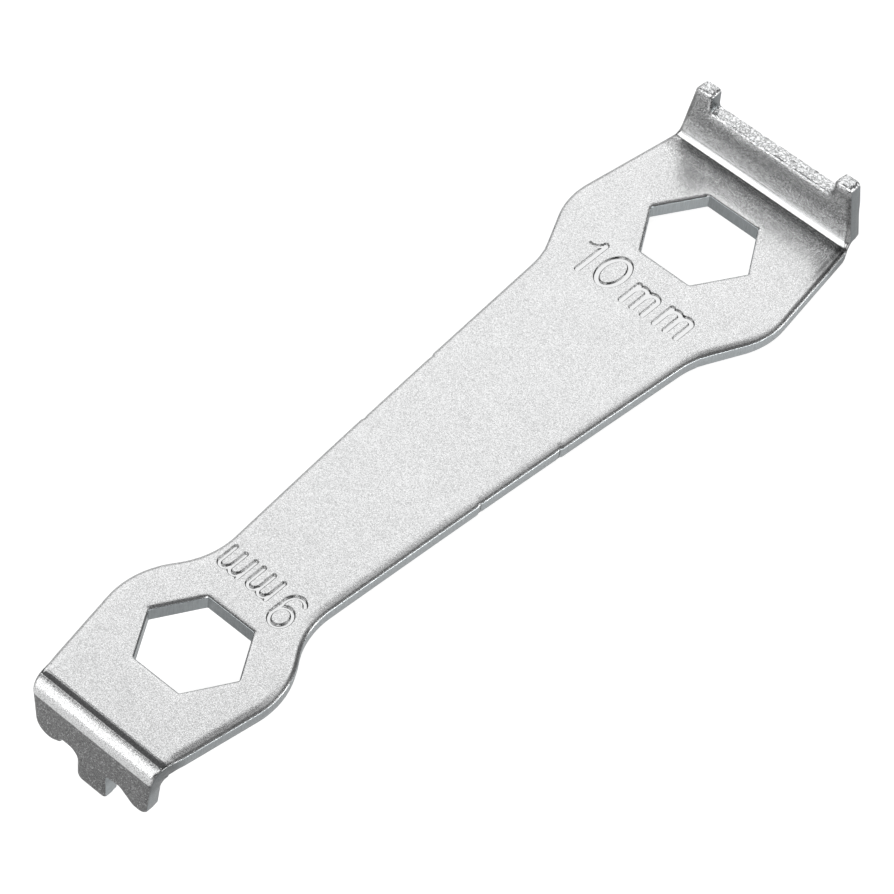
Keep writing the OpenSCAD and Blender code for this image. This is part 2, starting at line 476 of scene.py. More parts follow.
big_hex, small_hex = hexagon(BIG_SOCKET, 0), hexagon(SMALL_SOCKET, SMALL_SOCKET_Y)
print("points round the sockets:", len(big_hex), len(small_hex))

# %% [markdown]
# ## The size marks
# 10mm and 9mm are pressed into the upper face with a flat-nosed stamp. Each sign is a few strokes,
# drawn as centre lines, so the groove can be found from the distance to the nearest stroke. The 9mm
# reads from the other end, so its strokes turn half round.

# %% Pens for the strokes
STROKE_STEP = 0.13


def arc(cx, cy, rx, ry, start, end):
    """Points along an ellipse from one angle to another, in degrees."""
    n = max(6, math.ceil(math.radians(abs(end - start)) * max(rx, ry) / STROKE_STEP))
    a = np.radians(np.linspace(start, end, n + 1))
    return np.stack([cx + rx * np.cos(a), cy + ry * np.sin(a)], 1)


def line(start, end):
    """Points along a straight line."""
    start, end = np.array(start, float), np.array(end, float)
    n = max(2, math.ceil(np.linalg.norm(end - start) / STROKE_STEP))
    return start + (end - start) * np.linspace(0, 1, n + 1)[:, None]


def letter_m(x, pitch, height):
    """Three stems and two arches: each arch leaves the stem before it and comes down as the next."""
    strokes = [line((x, 0), (x, height))]
    for left in (x, x + pitch):
        arch = arc(left + 0.56 * pitch, height - 0.42 * pitch, 0.44 * pitch, 0.42 * pitch, 140, 0)
        leaving = line((left, height - 0.62 * pitch), arch[0])
        coming_down = line(arch[-1], (left + pitch, 0))
        strokes.append(np.concatenate([leaving[:-1], arch, coming_down[1:]]))
    return strokes


print("strokes in a letter m:", len(letter_m(0, 1.28, 2.6)))

# %% The two marks
TEN_FOOT, TEN_HALF_STROKE, TEN_M = (0, -11.12), 0.30, (1.28, 2.6)
NINE_FOOT, NINE_HALF_STROKE, NINE_M = (0, 57.32), 0.23, (1.18, 2.4)
one, nought = line((-5.48, 0), (-5.48, 4.12)), arc(-2.9, 2.1, 1.2, 1.98, 0, 360)
ten = [one, nought] + letter_m(-0.2, *TEN_M) + letter_m(3.75, *TEN_M)
nine_ring = arc(-3.15, 2.82, 0.93, 1.12, 0, 360)
nine_tail = np.concatenate([line((-2.22, 2.82), (-2.28, 1.7))[:-1], arc(-3.2, 1.35, 0.93, 1.2, 18, -140)])
nine = [nine_ring, nine_tail] + letter_m(-0.95, *NINE_M) + letter_m(2.37, *NINE_M)
marks = [(stroke + TEN_FOOT, TEN_HALF_STROKE) for stroke in ten]
marks += [(-(stroke + NINE_FOOT), NINE_HALF_STROKE) for stroke in nine]

# The flag of the 1 swells from its tip to the stem, so it is cut into short strokes.
FLAG_TIP, FLAG_SWELL = 0.12, 0.016
flag = arc(-6.62, 4.5, 1.15, 1.1, -98, -18)
marks += [(flag[i:i + 4] + TEN_FOOT, FLAG_TIP + FLAG_SWELL * i) for i in range(0, len(flag) - 1, 3)]
print(len(marks), "strokes in the two marks")

# %% [markdown]
# ## Distances
# Rolled edges and pressed marks are both functions of a distance: from the cut edge, or from the
# nearest stroke. A path is a chain of straight bits, so that is the least of the distances to each
# bit, worked out for a batch of points and all bits at once.

# %% Distance from points to paths
BATCH = 4000


def distance(points, a, b):
    """Least distance from each point to the bits a to b, and the number of the nearest bit."""
    span = b - a
    length2 = np.maximum((span**2).sum(1), 1e-12)
    best, which = np.full(len(points), 1e9), np.zeros(len(points), int)
    for first in range(0, len(points), BATCH):
        q = points[first:first + BATCH, None] - a
        t = np.clip((q * span).sum(2) / length2, 0, 1)
        d = np.linalg.norm(q - t[..., None] * span, axis=2)
        which[first:first + BATCH] = d.argmin(1)
        best[first:first + BATCH] = d.min(1)
    return best, which


mark_a = np.concatenate([path[:-1] for path, _ in marks])
mark_b = np.concatenate([path[1:] for path, _ in marks])
mark_half = np.concatenate([np.full(len(path) - 1, half) for path, half in marks])
edge_a = np.concatenate([outline, big_hex, small_hex])
edge_b = np.concatenate([np.roll(loop, -1, 0) for loop in (outline, big_hex, small_hex)])
print(len(edge_a), "bits of cut edge,", len(mark_a), "bits of stroke")

# %% [markdown]
# ## The cut edge
# Punching leaves three zones on a cut edge: a corner where the upper face is dragged down, a smooth
# shear and a rougher break. The upper edge of the pegs was broken off instead, so it is bright and
# crushed. Each point of the outline gets its own width and depth of the rolled corner, evened out
# along the edge. Round the hexagons it is shallow on the flat towards the pegs and deeper elsewhere.

# %% How the roll changes along the edge
CORNER, TAPER, BLUR = 0.05, 0.08, 8
# Width and depth of the rolled corner: broken edge, pegs, teeth, sides
ROLLS = np.array([(0.8, 0.2), (0.7, 0.26), (0.4, 0.16), (1.0, 0.3)])
HEX_WIDE, BIG_HEX_DEEP, SMALL_HEX_DEEP = 0.56, (0.05, 0.16), (0.06, 0.12)
kernel = np.hanning(2 * BLUR + 1) / np.hanning(2 * BLUR + 1).sum()


def even_out(values):
    """Evens out values round a closed path with a short weighted average."""
    return np.convolve(np.concatenate([values[-BLUR:], values, values[:BLUR]]), kernel, "valid")


def hex_depth(loop, least, most):
    """Depth of the roll round a hexagon: least on the flat towards the pegs, most on the others."""
    return least + (most - least) * smooth(-0.97, -0.4, outward(loop)[:, 1])


faces_front = outward(outline)[:, 1] > 0.6
broken = faces_front & (outline[:, 1] > peg_s(PEG_FLOOR) - 0.3) & (np.abs(outline[:, 0]) < 9.4)
zone = np.select([broken, outline[:, 1] > PEG_FOLD_Y, outline[:, 1] < TOOTH_FOLD_Y + 0.2], [0, 1, 2], 3)
roll_wide, roll_deep = even_out(ROLLS[zone, 0]), even_out(ROLLS[zone, 1])
hex_deep = [hex_depth(big_hex, *BIG_HEX_DEEP), hex_depth(small_hex, *SMALL_HEX_DEEP)]
hex_points = len(big_hex) + len(small_hex)
edge_wide = np.concatenate([roll_wide, np.full(hex_points, HEX_WIDE)])
edge_deep = np.concatenate([roll_deep] + hex_deep)
edge_broken = np.concatenate([broken, np.zeros(hex_points)])
print("points in the four zones of the outline:", np.bincount(zone))

# %% [markdown]
# ## Points for the upper face
# The face is one sheet of triangles over the blank. Points stand close only where the shape changes:
# in rings along the cut edge, over the walls of the marks' grooves, and in rows over the folds. A
# wide grid is enough for the rest.

# %% Rings, rows and rows beside the strokes
BODY_HALF, PEG_HALF, TOOTH_HALF = 12.4, 10.4, 7.4
GRID, CREASE_REACH = 1.3, 2.8
GROOVE_ROWS = np.array([-0.2, -0.11, -0.075, -0.04, -0.005, 0.03, 0.12])


def ring(loop, wide, part):
    """A copy of a path moved into the steel, past the corner by a part of the roll's width."""
    return loop - np.reshape(CORNER + part * wide, (-1, 1)) * outward(loop)


def rows(half, s0, s1, dx, ds):
    """Points in even rows across the sheet, from -half to half."""
    x = np.linspace(-half, half, round(2 * half / dx) + 1)
    s = np.linspace(s0, s1, round(abs(s1 - s0) / ds) + 1)
    return np.stack(np.meshgrid(x, s), -1).reshape(-1, 2)


def beside_strokes():
    """Points on both sides of every stroke and round its ends, in rows over the groove's wall."""
    runs = []
    for path, half in marks:
        along = np.gradient(path, axis=0)
        along /= np.linalg.norm(along, axis=1, keepdims=True)
        square = np.stack([-along[:, 1], along[:, 0]], 1)
        reach = half + GROOVE_ROWS
        runs.append((path + np.multiply.outer(np.concatenate([reach, -reach]), square)).reshape(-1, 2))
        for end, way in ((path[0], -along[0]), (path[-1], along[-1])):
            a = math.atan2(way[1], way[0]) + np.radians(np.linspace(-75, 75, 7))
            fan = np.stack([np.cos(a), np.sin(a)], 1)
            runs.append((end + np.multiply.outer(reach, fan)).reshape(-1, 2))
    return np.concatenate(runs)


flat_points = rows(BODY_HALF, TOOTH_FOLD_Y + 0.4, PEG_FOLD_Y - 0.4, GRID, GRID)
fold_points = np.concatenate([
    rows(PEG_HALF, PEG_FOLD_Y, peg_flange_s, 0.5, 0.11),
    rows(PEG_HALF, peg_flange_s + 0.15, peg_s(CREASE_REACH), 0.5, 0.18),
    rows(PEG_HALF, peg_s(CREASE_REACH + 0.4), peg_s(PEG_TOP), 0.6, 0.5),
    rows(TOOTH_HALF, tooth_flange_s - 0.2, TOOTH_FOLD_Y + 0.15, 0.4, 0.085),
    rows(TOOTH_HALF, TOOTH_FOLD_Y + 0.32, TOOTH_FOLD_Y + 1.3, 0.6, 0.2),
    rows(TOOTH_HALF, tooth_flange_s - 1.3, tooth_flange_s - 0.35, 0.6, 0.2),
    rows(TOOTH_HALF, tooth_s(TOOTH_REACH), tooth_flange_s - 1.6, 0.6, 0.6)])
crease_points = rows(PEG_HALF, PEG_FOLD_Y, PEG_FOLD_Y, 0.08, 1)
crease_points = crease_points[distance(crease_points, edge_a, edge_b)[0] > 0.12]
stroke_points = beside_strokes()
print(len(flat_points), "points in the grid,", len(fold_points), "on folds,", len(stroke_points), "at marks")

# %% [markdown]
# ## Triangles
# A triangulation that keeps given edges joins the points. It fills the holes and gaps too, so a
# triangle with all its corners on the border is kept only if its middle is in the steel.


# %% Triangulation
def depth_in_steel(points, a=edge_a, b=edge_b):
    """Distance from each point to the edge bits a to b, below 0 outside the steel, and the nearest bit.

    The steel lies to the right of every bit of edge, so the sign of a cross product says the side.
    """
    d, near = distance(points, a, b)
    side, way = points - a[near], b[near] - a[near]
    return np.where(way[:, 0] * side[:, 1] - way[:, 1] * side[:, 0] < 0, d, -d), near


def keep_inside(points, clear):
    """Only the points that lie in the steel and further than their clearance from any cut edge."""
    d, near = depth_in_steel(points)
    return points[d > clear * (CORNER + edge_wide[near])]


def triangulate(loops, inner):
    """Joins closed paths and loose points into triangles that fill the steel between the paths."""
    points = np.concatenate(list(loops) + [inner])
    edges, first = [], 0
    for loop in loops:
        i = np.arange(len(loop))
        edges.append(first + np.stack([i, (i + 1) % len(loop)], 1))
        first += len(loop)
    made = delaunay_2d_cdt(points.tolist(), np.concatenate(edges).tolist(), [], 1, 1e-4)
    points, triangles = np.array([tuple(v) for v in made[0]]), np.array(made[2])
    on_border = (triangles < first).all(1)
    keep = ~on_border
    following = np.concatenate([np.roll(loop, -1, 0) for loop in loops])
    middles = points[triangles[on_border]].mean(1)
    keep[on_border] = depth_in_steel(middles, np.concatenate(loops), following)[0] > 0
    return points, triangles[keep]


print("depth in steel at the big socket's centre:", depth_in_steel(np.zeros((1, 2)))[0])

# %% [markdown]
# ## Depth of the upper face
# The rolled corner falls away with the cube of the way into it, so it starts without a line. The
# marks' grooves have a flat floor and steep walls. Both depths follow from distances. Along the
# broken edge the points are scattered a little as well.

# %% Rolled corners and grooves
MARK_DEEP, GROOVE_WALL, CRUMBLE = 0.14, (-0.11, 0.03), 0.012


def face_depth(points):
    """Depth below the upper face, and how far each point is pressed, rolled and broken, 0 to 1."""
    d, near = distance(points, edge_a, edge_b)
    rolled = np.clip(1 - (d - CORNER) / edge_wide[near], 0, 1)
    depth = edge_deep[near] * rolled**3
    crumbled = edge_broken[near] * (rolled > 0.8)
    depth = depth + crumbled * CRUMBLE * np.random.default_rng(1).normal(0, 1, len(d)) * (rolled < 0.99)
    d, near = distance(points, mark_a, mark_b)
    pressed = 1 - smooth(*GROOVE_WALL, d - mark_half[near])
    return depth + MARK_DEEP * pressed, pressed, rolled, crumbled


RING_PARTS = [0.06, 0.14, 0.24, 0.38, 0.56, 0.78, 1.0]
FLAT_CLEAR, FOLD_CLEAR, STROKE_CLEAR = 1.15, 1.05, 0.55
cut_edges = ((outline, roll_wide), (big_hex, HEX_WIDE), (small_hex, HEX_WIDE))
ring_points = np.concatenate([ring(loop, wide, part) for part in RING_PARTS for loop, wide in cut_edges])
reach = np.concatenate([CORNER + part * edge_wide for part in RING_PARTS])
ring_points = ring_points[distance(ring_points, edge_a, edge_b)[0] > 0.93 * reach]
off_strokes = flat_points[distance(flat_points, mark_a, mark_b)[0] > STROKE_CLEAR]
inner = np.concatenate([ring_points, stroke_points, keep_inside(off_strokes, FLAT_CLEAR),
                        keep_inside(fold_points, FOLD_CLEAR), crease_points])
upper_2d, upper_faces = triangulate([ring(loop, wide, 0) for loop, wide in cut_edges], inner)
upper_depth, pressed, rolled, crumbled = face_depth(upper_2d)
# The border's points come first, in the order of the paths, at the depth where the walls start.
upper_depth[:len(edge_deep)] = edge_deep
upper = np.column_stack([upper_2d, upper_depth])
print("upper face:", len(upper), "points,", len(upper_faces), "triangles")

# %% [markdown]
# ## The lower face
# The punch broke out of this side, so it is flat to a sharp edge. It needs only the outline, the holes,
# the rows over the folds and one ring that keeps its triangles even.

# %% Lower face
RING_IN, RING_CLEAR = 0.5, 0.9
lower_loops = [outline - TAPER * outward(outline), big_hex, small_hex]
lower_2d, lower_faces = triangulate(lower_loops, np.concatenate([
    keep_inside(ring(outline, RING_IN, 1), RING_CLEAR), keep_inside(flat_points, FLAT_CLEAR),
    keep_inside(fold_points, FOLD_CLEAR)]))
lower = np.column_stack([lower_2d, np.full(len(lower_2d), SHEET)])
print("lower face:", len(lower), "points,", len(lower_faces), "triangles")

# %% [markdown]
# ## The cut walls
# The walls are the profile of the cut edge carried round each path: the end of the rolled corner, the
# smooth shear and the rougher break. A wall is a grid of four-sided faces and fits both faces of the
# sheet point for point.

# %% Cut walls
TURN_ROWS, FALL_ROWS = 5, np.array([0.15, 0.3, 0.45, 0.52, 0.65, 0.8, 0.92, 1])
FIRST_ROUGH_ROW, ROUGH, CRUSH_IN, CRUSH_DOWN = 8, 0.008, 0.02, 0.03


def edge_profile(wide, deep, taper):
    """Depth and inset of every row of the wall, for each point of a path.

    An arc takes over the roll's slope, the arc tangent of 3 deep / wide, and turns it upright. Then
    the wall goes straight down, and its broken lower part leans in by the taper.
    """
    slope = np.minimum(np.arctan(3 * deep / wide), math.radians(60))
    turn = slope + (math.pi / 2 - slope) * np.linspace(0, 1, TURN_ROWS)[:, None]
    radius = CORNER / (1 - np.sin(slope))
    fall = FALL_ROWS[:, None]
    start = deep + radius * (np.cos(slope) - np.cos(turn))
    depth = np.concatenate([start, start[-1] + (SHEET - start[-1]) * fall])
    lean_in = taper * smooth(0.4, 1, fall) * np.ones_like(deep)
    return depth, np.concatenate([radius * (1 - np.sin(turn)), lean_in])


def wall(loop, wide, deep, taper, crush, seed):
    """The cut edge's profile carried round a path: blank points, faces and the crush of each face.

    The break is rough, and crush moves points in, out, up and down where the edge was broken off.
    """
    depth, inset = edge_profile(wide, deep, taper)
    rng = np.random.default_rng(seed)
    rough = rng.normal(0, 1, depth.shape)
    inset[FIRST_ROUGH_ROW:-1] += ROUGH * rough[FIRST_ROUGH_ROW:-1]
    inset[1:-1] += CRUSH_IN * crush * rough[1:-1]
    depth[1:-1] += CRUSH_DOWN * crush * rng.normal(0, 1, depth[1:-1].shape)
    points = loop - inset[..., None] * outward(loop)
    blank = np.concatenate([points, depth[..., None]], 2).reshape(-1, 3)
    n = len(loop)
    i, low = np.arange(n), np.arange(len(depth) - 1)[:, None] * n
    faces = np.stack([low + i, low + (i + 1) % n, low + n + (i + 1) % n, low + n + i], 2).reshape(-1, 4)
    return blank, faces, np.tile(crush, len(depth) - 1)


walls = [wall(outline, roll_wide, roll_deep, TAPER, broken, 3)]
for loop, deep, seed in ((big_hex, hex_deep[0], 5), (small_hex, hex_deep[1], 7)):
    walls.append(wall(loop, HEX_WIDE, deep, 0, np.zeros(len(loop)), seed))
print("walls:", sum(len(blank) for blank, _, _ in walls), "points")

# %% [markdown]
# ## One closed mesh
# The pieces share their border points, so merging what coincides gives one closed skin. The mesh keeps
# the blank coordinates as an attribute, so that the finish can follow the steel through the folds.

# %% Join, fold and merge
PLATE, CUT, BROKEN = 0, 1, 2
blank = np.concatenate([upper, lower] + [points for points, _, _ in walls])
faces = upper_faces.tolist() + (lower_faces + len(upper)).tolist()
finish = np.where(crumbled[upper_faces].min(1) > 0.5, BROKEN, PLATE).tolist() + [PLATE] * len(lower_faces)
first = len(upper) + len(lower)
for points, quads, crush in walls:
    faces += (quads + first).tolist()
    finish += np.where(crush > 0.5, BROKEN, CUT).tolist()
    first += len(points)
mesh = bpy.data.meshes.new("pressed_body")
mesh.from_pydata(fold(blank), [], faces)
mesh.attributes.new("blank", "FLOAT_VECTOR", "POINT").data.foreach_set("vector", blank.ravel())
for name, on_upper, on_walls in (("pressed", pressed, 0), ("rolled", rolled, 1)):
    rest = np.concatenate([np.zeros(len(lower)), np.full(len(blank) - len(upper) - len(lower), on_walls)])
    values = np.concatenate([on_upper, rest])
    mesh.attributes.new(name, "FLOAT", "POINT").data.foreach_set("value", values)
mesh.polygons.foreach_set("material_index", finish)
print(len(blank), "points before merging")

# %% Close the skin
MERGE, SHARP = 1e-7, math.radians(38)
build = bmesh.new()
build.from_mesh(mesh)
bmesh.ops.remove_doubles(build, verts=build.verts, dist=MERGE)
bmesh.ops.dissolve_degenerate(build, edges=build.edges, dist=MERGE)
bmesh.ops.recalc_face_normals(build, faces=build.faces)
open_edges = sum(not edge.is_manifold for edge in build.edges)
build.to_mesh(mesh)
build.free()
mesh.polygons.foreach_set("use_smooth", np.ones(len(mesh.polygons), bool))
mesh.set_sharp_from_angle(angle=SHARP)
body = bpy.data.objects.new("pressed_body", mesh)
scene.collection.objects.link(body)
print("body:", len(mesh.vertices), "points,", len(mesh.polygons), "faces,", open_edges, "open edges")

# %% [markdown]
# ## Zinc grain
# The plating is matt and sandy: crystals a twentieth of a millimetre across over a faint cloudiness.
# Faces and cut edges share it, so it is one node group, which gives a height for the relief and a
# tone that lightens and darkens the metal.

# %% The grain node group
CRYSTALS_PER_METRE, CLOUDS_PER_METRE = 17000, 300


def random_cells(place, scale):
    """Cells that each have a random number from 0 to 1."""
    cells = texture("ShaderNodeTexVoronoi", place, Scale=scale)
    number = add_node(place.id_data, "ShaderNodeSeparateColor")
    place.id_data.links.new(cells.outputs["Color"], number.inputs[0])
    return number.outputs[0]


grain = bpy.data.node_groups.new("zinc_grain", "ShaderNodeTree")
for name in ("Height", "Tone"):
    grain.interface.new_socket(name, in_out="OUTPUT", socket_type="NodeSocketFloat")
ends_out = add_node(grain, "NodeGroupOutput")
place = add_node(grain, "ShaderNodeTexCoord").outputs["Object"]
fine = texture("ShaderNodeTexNoise", place, Scale=0.55 * CRYSTALS_PER_METRE, Detail=2.0, Roughness=0.5)
cloud = texture("ShaderNodeTexNoise", place, Scale=CLOUDS_PER_METRE, Detail=3.0, Roughness=0.6)
mottle = math_node("MULTIPLY_ADD", random_cells(place, CRYSTALS_PER_METRE), 0.44, 0.40)
mottle = math_node("MULTIPLY_ADD", cloud.outputs[0], 0.08, mottle)
grain.links.new(fine.outputs[0], ends_out.inputs["Height"])
grain.links.new(mottle, ends_out.inputs["Tone"])
print("grain group with", len(grain.nodes), "nodes")

# %% [markdown]
# ## Tools for the finishes
# The three finishes start alike, as bare metal. Their colour is always a grey that leans a little to
# blue, so a tone from 0 to 1 is all they work out. Their relief is a height that bends the light
# without moving the surface.


# %% Metal, grey and relief
def metal(name):
    """A metal material on the body, as its node tree and its shader."""
    material = bpy.data.materials.new(name)
    material.use_nodes = True
    shader = material.node_tree.nodes["Principled BSDF"]
    shader.inputs["Metallic"].default_value = 1.0
    mesh.materials.append(material)
    return material.node_tree, shader


def attribute(tree, name, output="Fac"):
    """A value that the mesh carries at its points."""
    return add_node(tree, "ShaderNodeAttribute", attribute_name=name).outputs[output]


def parts(vector):
    """The three parts of a vector."""
    split = add_node(vector.id_data, "ShaderNodeSeparateXYZ")
    vector.id_data.links.new(vector, split.inputs[0])
    return split.outputs


def drawn_out_noise(vector, waves, rough):
    """Noise with its own number of waves along each axis of the blank, per millimetre."""
    stretch = texture("ShaderNodeMapping", vector, Scale=waves)
    noise = texture("ShaderNodeTexNoise", stretch.outputs[0], Scale=1.0, Detail=3.0, Roughness=rough)
    return noise.outputs[0]


def colour(tree, shader, tone, lightest, blue=0.005):
    """Sends a tone to the base colour, as a ramp from black to a grey that leans a little to blue."""
    ramp = add_node(tree, "ShaderNodeValToRGB")
    ramp.color_ramp.elements[1].color = (lightest * (1 - blue), lightest, lightest * (1 + blue * 0.4), 1)
    tree.links.new(tone, ramp.inputs[0])
    tree.links.new(ramp.outputs[0], shader.inputs["Base Color"])


def relief(tree, shader, height, depth):
    """Sends a height, in parts of a depth in metres, to the shader's normal."""
    node = add_node(tree, "ShaderNodeBump", Strength=1.0, Distance=depth)
    tree.links.new(height, node.inputs["Height"])
    tree.links.new(node.outputs[0], shader.inputs["Normal"])


print("materials so far:", len(mesh.materials))

# %% [markdown]
# ## The plated face
# One material covers both faces and both flanges. What the press did to the plating, and the painted
# highlights and painted shade, lie at known places on the blank, so each effect is a mask in millimetres,
# read from the coordinates that the mesh carries. The masks hold on the upper side, which the photograph
# shows. The other stays plain.

# %% Places on the sheet
tree, shader = metal("plated_face")
grain_node = add_node(tree, "ShaderNodeGroup", node_tree=grain)
grain_height, grain_tone = grain_node.outputs["Height"], grain_node.outputs["Tone"]
on_blank = attribute(tree, "blank", "Vector")
across, along, below = parts(on_blank)
upper_side = ease(below, 0.9, 0.6)
corner = product(attribute(tree, "rolled"), upper_side)
marked = attribute(tree, "pressed")
past = math_node("SUBTRACT", TOOTH_FOLD_Y, along)
tooth_face = product(ease(past, 1.58, 1.70), upper_side)
crease_start = ease(along, PEG_FOLD_Y - 0.1, PEG_FOLD_Y + 0.2)
crease_line = product(crease_start, ease(along, 11.6, 10.7))
print("masks for the upper side, corners, teeth and crease")

# %% [markdown]
# ## Sandy tone
# The zinc is sandy everywhere, and coarser where bending has stretched the steel. The crease was pressed
# smooth again. The outside of the teeth is painted dark: partly a finish that the die rubbed dark, partly
# painted shade for the shadowed floor that it mirrors. The die also left bright flecks on it.

# %% Sand, painted shade on the teeth, and flecks
MIDDLE_TONE, FLECKS_PER_MM = 0.66, 9
after_tooth_fold = math_node("MULTIPLY", ease(past, 0.6, 1.1), 0.7)
bent = math_node("MAXIMUM", ease(along, 5.5, PEG_FOLD_Y - 0.6), tooth_face)
bent = product(math_node("MAXIMUM", bent, after_tooth_fold), upper_side)
sandy = change_where(math_node("MULTIPLY_ADD", bent, 1.2, 1.0), crease_line, -0.7)
tone = math_node("SUBTRACT", grain_tone, MIDDLE_TONE)
tone = math_node("MULTIPLY_ADD", tone, sandy, MIDDLE_TONE)
# Painted shade on the outside of the teeth, on top of the darker rubbed finish
tone = change_where(tone, tooth_face, -0.68)
flecks = product(ease(random_cells(on_blank, FLECKS_PER_MM), 0.86, 0.98), tooth_face)
tone = math_node("MULTIPLY_ADD", flecks, 0.34, tone)
print("sand around a tone of", MIDDLE_TONE)

# %% [markdown]
# ## Over the tooth fold
# The die slid over the small radius above the teeth. It pressed a narrow band smooth, with a ragged end, and
# the band is painted a little darker as painted shade. The die polished a strip after it in fine streaks,
# and that strip is painted much brighter, a painted highlight where the fold's curve catches the front
# light. Noise moves the band's end, and noise drawn out across the sheet gives the streaks.

# %% Smooth band, polish with painted highlight, and glare
tear = texture("ShaderNodeTexNoise", on_blank, Scale=5.0, Detail=4.0, Roughness=0.75)
ragged = math_node("MULTIPLY_ADD", tear.outputs[0], 0.35, math_node("SUBTRACT", past, 0.175))
band = product(ease(past, 0.03, 0.08), ease(ragged, 0.46, 0.36), upper_side)
polish_and_highlight = product(ease(past, 0.65, 1.25), ease(past, 1.62, 1.5), upper_side)
streaks = drawn_out_noise(on_blank, (2.5, 13, 13), 0.7)
glare = product(ease(past, 0.5, 0.8), ease(past, 1.2, 0.9), streaks)
# Painted tone: the band a little darker as painted shade, the strip after it much brighter as a painted
# highlight, and the streaks darker
for mask, change in ((band, -0.05), (polish_and_highlight, 0.68), (glare, -0.3)):
    tone = change_where(tone, mask, change)
print("band, polish and glare:", len(tree.nodes), "nodes")

# %% [markdown]
# ## Over the peg fold
# Plate and flange mirror each other here. The foot of the flange gets a painted highlight, the brightest
# tone on the tool, and the flange gets painted shade towards its top. The bottom of the crease and two soft
# stripes before it get painted shade. The press tool's edge left a thin line on the flange, mostly on the
# left.

# %% Painted highlight at the foot, painted shade on the face and in stripes, and the line
# Middle, inner reach and outer reach of each stripe of painted shade, and the part of the tone that is left
SHADE_STRIPES = ((PEG_FOLD_Y + 0.1, 0.05, 0.4, 0.75), (8.25, 0.1, 0.5, 0.78), (7.9, 0.3, 1.1, 0.7))
peg_foot_highlight = product(ease(along, PEG_FOLD_Y + 0.9, peg_flange_s), upper_side)
peg_face_shade = product(ease(along, peg_s(1.25), peg_s(2.95)), upper_side)
off_line = away_from(along, peg_flange_s + 0.12)
thin_line = product(ease(off_line, 0.08, 0.02), ease(across, 4.0, 1.0))
# Painted highlight on the flange's foot, painted shade on its face, and the press tool's line
for mask, change in ((peg_foot_highlight, 0.53), (peg_face_shade, -0.53), (thin_line, -0.5)):
    tone = change_where(tone, mask, change)
# Painted shade in the bottom of the crease and in the two stripes before it
for stripe, reach_in, reach_out, left in SHADE_STRIPES:
    tone = product(tone, ease(away_from(along, stripe), reach_in, reach_out, left, 1.0))
print(len(SHADE_STRIPES), "dark stripes at the peg fold")

# %% [markdown]
# ## Rolled corners
# In four places the real corner looks darker than its curve alone makes it, so it gets painted shade:
# outside the pegs, at the ends of the tooth fold, on the big head's right shoulder and at the right end of
# the peg fold. Each is a mask, made from the way into the corner and the place on the blank.

# %% Painted shade in corners
flange_starts = ease(along, PEG_FOLD_Y - 0.4, PEG_FOLD_Y + 0.2)
outside_pegs = product(ease(corner, 0.1, 0.8), flange_starts, ease(math_node("ABSOLUTE", across), 8.2, 8.8),
                       ease(along, peg_s(6.3), peg_s(5.4)))
tooth_fold_ends = product(ease(corner, 0.5, 0.95), ease(away_from(past, 0.7), 1.3, 0.8))
shoulder = product(ease(corner, 0.0, 0.4), ease(across, 9.0, 9.5), ease(along, 2.0, 6.0),
                   ease(along, PEG_FOLD_Y, PEG_FOLD_Y - 0.4))
peg_fold_end = product(ease(across, 9.2, 9.8), ease(away_from(along, PEG_FOLD_Y + 0.1), 0.9, 0.4))
# Painted shade at the four corners
for mask, change in ((outside_pegs, -0.6), (tooth_fold_ends, -0.6), (shoulder, -0.5), (peg_fold_end, -0.6)):
    tone = change_where(tone, mask, change)
print("4 dark places on the rolled corners")

# %% [markdown]
# ## The marks and the colour
# Everything so far is first taken back on the lower side. The stamp has left the floor of each groove smooth
# and even, and its steep walls get painted shade. The mask of the pressing is 0 beside a groove and 1 on its
# floor, so the mask times one minus itself is largest halfway down the walls.

# %% Grooves and base colour
GROOVE_TONE = 0.73
change = math_node("SUBTRACT", tone, grain_tone)
tone = math_node("MULTIPLY_ADD", change, upper_side, grain_tone)
groove_wall_shade = product(marked, math_node("SUBTRACT", 1.0, marked))
# Painted shade on the grooves' walls
tone = change_where(tone, groove_wall_shade, -3.4)
clean = product(marked, math_node("SUBTRACT", GROOVE_TONE, tone), ease(marked, 0.6, 1.0))
tone = math_node("ADD", tone, clean)
colour(tree, shader, tone, 0.98)
print("the grooves' floor has a tone of", GROOVE_TONE)

# %% [markdown]
# ## Roughness and relief
# Roughness spreads the mirrored light, and relief makes it sparkle. The relief is coarser where the
# steel is bent and smoother in the crease, the band, the marks and the sharpest part of a corner. The
# zinc is torn after the band, and the streaks of the polished strip stand up a little.

# %% Surface of the plating
GRAIN_DEEP = 0.000012
rough = math_node("MULTIPLY_ADD", band, -0.1, 0.24)
rough = math_node("MULTIPLY_ADD", tooth_face, -0.08, rough)
tree.links.new(rough, shader.inputs["Roughness"])
coarse = product(grain_tone, bent, math_node("SUBTRACT", 1.0, crease_line))
height = math_node("MULTIPLY_ADD", coarse, 1.1, grain_height)
height = product(height, ease(corner, 1.0, 0.8))
for mask, change in ((band, -0.8), (crease_line, -0.5), (marked, -0.7)):
    height = change_where(height, mask, change)
rags = texture("ShaderNodeTexNoise", on_blank, Scale=9.0, Detail=3.0, Roughness=0.7)
torn = product(ease(past, 0.36, 0.44), ease(past, 0.8, 0.5), upper_side, rags.outputs[0])
height = math_node("MULTIPLY_ADD", torn, 5.0, height)
height = math_node("MULTIPLY_ADD", product(polish_and_highlight, streaks), 1.2, height)
relief(tree, shader, height, GRAIN_DEEP)
print("plated face:", len(tree.nodes), "nodes")

# %% [markdown]
# ## The sheared wall
# It is flat grey with fine scores across the sheet, in the direction that the punch moved. The scores are
# noise drawn out along the depth. The tone changes along the tool, so it comes from a ramp over the length
# of the blank; its dark stretches by the tooth fold and the pegs are partly painted shade. Walls that face
# towards the teeth get painted shade as well. Where two bites of the punch meet there is a dark crack.

# %% Wall material
SCORES, CRACKS_S, SCORE_DEEP = (9, 9, 0.9), (-38.38, -28.62), 0.000015
